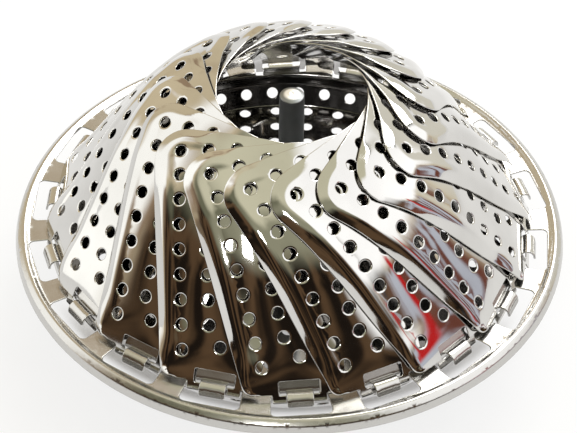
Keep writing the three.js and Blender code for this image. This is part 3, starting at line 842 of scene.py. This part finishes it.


# The petals' inner faces take a darker colour: painted shade inside the dome of petals.
petal_steel = steel(
    "petal_polish",
    colour=(0.68, 0.67, 0.65),
    shade=(0.58, 0.57, 0.55),
    roughness=(0.04, 0.09),
    wave=0.0001,
    grain=0.000003,
    zone=(painted_shade_inner_face, (0.36, 0.35, 0.34), 0.04),
)
# The dish's own colour is dark as painted shade in its well; the flange zone, rim and lugs take the paler
# colour.
dish_steel = steel(
    "dish_polish",
    colour=(0.40, 0.39, 0.38),
    shade=(0.31, 0.30, 0.29),
    roughness=(0.08, 0.14),
    wave=0.00005,
    grain=0.000006,
    zone=(flange, (0.56, 0.55, 0.53), 0.12),
)
# The post's side is darkened as painted shade from the dark dish round it, and its top paled as a painted
# highlight.
post_steel = steel(
    "post_satin",
    colour=(0.30, 0.31, 0.31),
    shade=(0.21, 0.22, 0.22),
    roughness=(0.34, 0.5),
    wave=0.00002,
    grain=0.00002,
    zone=(painted_highlight_top, (0.9, 0.9, 0.89), 0),
)
fitting_steel = steel(
    "fitting_satin",
    colour=(0.66, 0.65, 0.63),
    shade=(0.52, 0.51, 0.5),
    roughness=(0.28, 0.42),
    wave=0.00002,
    grain=0.00002,
)

one_petal, inner_marks = petal_shape()
for index in range(PETALS):
    tail = "_" + str(index + 1).zfill(2)
    node = "petal" + tail
    petal = placed(one_petal, *hinge_place(index))
    made = piece("petal_sheet" + tail, petal, petal_steel, node + "_body", "petal_steel", node)
    # This mark picks out the inner face, which the petal material darkens as painted shade.
    mark = made.data.attributes.new("inner", "FLOAT", "POINT")
    mark.data.foreach_set("value", inner_marks)

one_hinge = hinge_shape()
hinges = [placed(one_hinge, *hinge_place(index)) for index in range(PETALS)]
piece("dish_sheet", joined([dish_shape(), *hinges]), dish_steel, "dish_body", "dish_steel", "dish")
piece("post_turned", post_shape(), post_steel, "dish_body", "post_steel", "centre_post")
washer_foot = FLOOR_TOP - DISH_SHEET - FIT_GAP - WASHER_THICK
nut_foot = washer_foot - FIT_GAP - NUT_THICK
fittings = [
    ("washer_flat", washer_shape(washer_foot), "dish_body", "post_washer"),
    ("nut_hex", nut_shape(nut_foot), "dish_body", "post_nut"),
]
for index, azimuth in enumerate(np.radians(LEG_AZIMUTHS)):
    tail = "_" + str(index + 1)
    at = azimuth, np.append(SEATS[index], PIN_HEIGHT)
    fittings += [
        ("leg_strip" + tail, placed(leg_shape(), *at), "leg" + tail + "_body", "leg" + tail),
        ("bracket_folded" + tail, placed(bracket_shape(), *at), "dish_body", "leg_bracket" + tail),
        ("pin_turned" + tail, placed(pin_shape(), *at), "dish_body", "leg_pin" + tail),
    ]
for name, shape, body, node in fittings:
    piece(name, shape, fitting_steel, body, "fitting_steel", node)


def pale_floor():
    """A flat pale floor, far wider than the object: rings of points (r cos a, r sin a) about its axis.

    It shows white to the camera and in polished steel, less so in a half disc under the dish's front, where
    a painted shadow darkens it.
    """
    count, floor_level = 96, -0.0001
    radius = np.array([0.3, 1, 3, 9])[:, None]
    angle = np.arange(count) * 2 * np.pi / count
    level = np.full((len(radius), count), floor_level)
    ring = np.stack([radius * np.cos(angle), radius * np.sin(angle), level], -1).reshape(-1, 3)
    row, k = np.meshgrid(np.arange(len(radius) - 1), np.arange(count), indexing="ij")
    a, b = row * count + k, row * count + (k + 1) % count
    faces = np.stack([a, a + count, b + count, b], -1).reshape(-1, 4).tolist()
    k = np.arange(count)
    faces += np.stack([np.full(count, len(ring)), k, (k + 1) % count], -1).tolist()
    mesh = bpy.data.meshes.new("floor")
    mesh.from_pydata(np.concatenate([ring, [[0, 0, floor_level]]]).tolist(), [], faces)
    floor = bpy.data.objects.new("floor", mesh)
    bpy.context.scene.collection.objects.link(floor)
    material = bpy.data.materials.new("floor_white")
    finish = Finish(material)
    rays = ("Is Camera Ray", "Is Glossy Ray", "Is Transmission Ray")
    camera_ray, glossy, through = (finish.node("ShaderNodeLightPath", {}, {}, ray) for ray in rays)
    seen = 1 - (1 - camera_ray) * (1 - glossy) * (1 - through)
    paper = finish.node("ShaderNodeBsdfDiffuse", {}, {"Color": (0.9, 0.9, 0.9, 1)})
    glow = finish.node("ShaderNodeEmission", {}, {"Color": (1, 1, 1, 1), "Strength": 1.0})
    # Painted shadow under the front: a half disc about a point behind the axis, by metres squared, where
    # less glow darkens the floor.
    x, y, _ = finish.place()
    behind = y - 0.033
    painted_shadow = (x * x + behind * behind).between(0.0060, 0.0066, 1, 0) * y.between(-0.02, 0, 1, 0)
    both = finish.node("ShaderNodeMixShader", {}, {0: seen * (0.8 - painted_shadow * 0.62), 1: paper, 2: glow})
    finish.node("ShaderNodeOutputMaterial", {}, {"Surface": both})
    mesh.materials.append(material)
    return floor


def room():
    """The light round the object, by direction: aside is 0 in front and grows to the right, and height is 0
    at the horizon, both in degrees.

    Behind is a warm wall, at the left a window, at the right a wider slanted one over a dark shelf of
    things with a narrow red strip, and in front a brown room under a beige ceiling.
    """
    world = bpy.data.worlds.new("room")
    bpy.context.scene.world = world
    finish = Finish(world)
    x, y, z = finish.place("Generated")

    def streaks(scale, seed, upright=1.0):
        return finish.noise(scale, 2.0, (1, 1, upright), seed, "Generated")

    def clouded(share, first, second):
        return finish.mixed(share, (*first, 1), (*second, 1))

    def painted(share, tint):
        """The colour so far, changed to tint by share."""
        return finish.mixed(share, colour, (*tint, 1))

    def span(value, low, high, soft):
        """1 between low and high."""
        return value.between(low - soft, low + soft) * value.between(high - soft, high + soft, 1, 0)

    degrees = 180 / np.pi
    aside = x.math("ARCTAN2", x, y * -1) * degrees + (streaks(2.4, 4, 0.6) - 0.5) * 26
    height = z.math("ARCSINE", z) * degrees + (streaks(3.0, 8) - 0.5) * 10

    # The warm wall, paler behind at the right, with a dark patch in the pale part.
    colour = clouded(streaks(3.4, 9, 0.6).between(0.46, 0.62), (0.52, 0.44, 0.30), (0.28, 0.20, 0.13))
    colour = painted(span(aside, 118, 190, 8), (0.58, 0.56, 0.49))
    colour = painted(span(aside, 118, 150, 7) * span(height, 40, 60, 5), (0.08, 0.085, 0.065))
    # The brown room in front, a haze above it, and the ceiling.
    brown = clouded(streaks(5.5, 2, 0.5).between(0.42, 0.62), (0.01, 0.007, 0.005), (0.085, 0.05, 0.026))
    haze = clouded(aside.between(-45, -15), (0.13, 0.13, 0.085), (0.24, 0.235, 0.165))
    front = finish.mixed(height.between(33, 43), brown, haze)
    colour = finish.mixed(span(aside, -72, 66, 10), colour, front)
    colour = painted(height.between(52, 68), (0.52, 0.50, 0.37))
    # The shelf of things at the right, the slanted window over it, and the red strip.
    things = clouded(streaks(9, 6, 0.5).between(0.44, 0.58), (0.13, 0.045, 0.03), (0.42, 0.44, 0.50))
    colour = finish.mixed(span(aside, 60, 112, 6) * span(height, -20, 17, 3), colour, things)
    slanted = (aside + height * 0.35).between(56, 68) * aside.between(122, 134, 1, 0)
    colour = painted(slanted * span(height, 20, 68, 4), (1.0, 1.0, 1.0))
    colour = painted(span(aside, 74, 78, 1.2) * span(height, 4, 22, 2), (0.45, 0.012, 0.012))
    # The window at the left.
    colour = painted(span(aside, -122, -84, 6) * span(height, -30, 54, 6), (1.0, 1.0, 0.97))
    light = finish.node("ShaderNodeBackground", {}, {"Color": colour, "Strength": 1.55})
    finish.node("ShaderNodeOutputWorld", {}, {"Surface": light})


def lamp(name, place, size, power):
    """A square soft lamp that looks at the object."""
    data = bpy.data.lights.new(name, "AREA")
    data.shape, data.size, data.energy = "SQUARE", size, power
    made = bpy.data.objects.new(name, data)
    bpy.context.scene.collection.objects.link(made)
    made.location = place
    made.rotation_euler = (Vector((0, 0, 0.05)) - Vector(place)).to_track_quat("-Z", "Y").to_euler()


def camera():
    """The photograph's view: 43.6 degrees down, from the front, rolled by one degree.

    It looks at the middle of the flange from a distance, and is moved a little aside and up.
    """
    pitch, roll, distance = 0.761, 0.017, 889.3
    aside, raised = -0.41, 2.38
    photo_width, focal_pixels, sensor = 577, 2972.6, 36
    ahead = np.array([0, np.cos(pitch), -np.sin(pitch)])
    level, over = np.array([1, 0, 0]), np.array([0, np.sin(pitch), np.cos(pitch)])
    right = np.cos(roll) * level + np.sin(roll) * over
    up = np.cos(roll) * over - np.sin(roll) * level
    place = np.array([0, 0, FLANGE_TOP]) - ahead * distance + aside * level + raised * over
    data = bpy.data.cameras.new("photo_view")
    data.sensor_fit, data.sensor_width = "HORIZONTAL", sensor
    data.lens = focal_pixels * sensor / photo_width
    data.clip_start, data.clip_end = 0.01, 20
    made = bpy.data.objects.new("photo_view", data)
    bpy.context.scene.collection.objects.link(made)
    axes = np.eye(4)
    axes[:3] = np.stack([right, up, -ahead, place * MM], -1)
    made.matrix_world = Matrix(axes.tolist())
    bpy.context.scene.camera = made


pale_floor()
room()
lamp("behind", (0.5, 0.9, 1.2), 0.8, 14)
lamp("near_camera", (-0.14, -1.0, 0.93), 0.16, 1.6)
camera()
bpy.context.scene.view_settings.view_transform = "Standard"
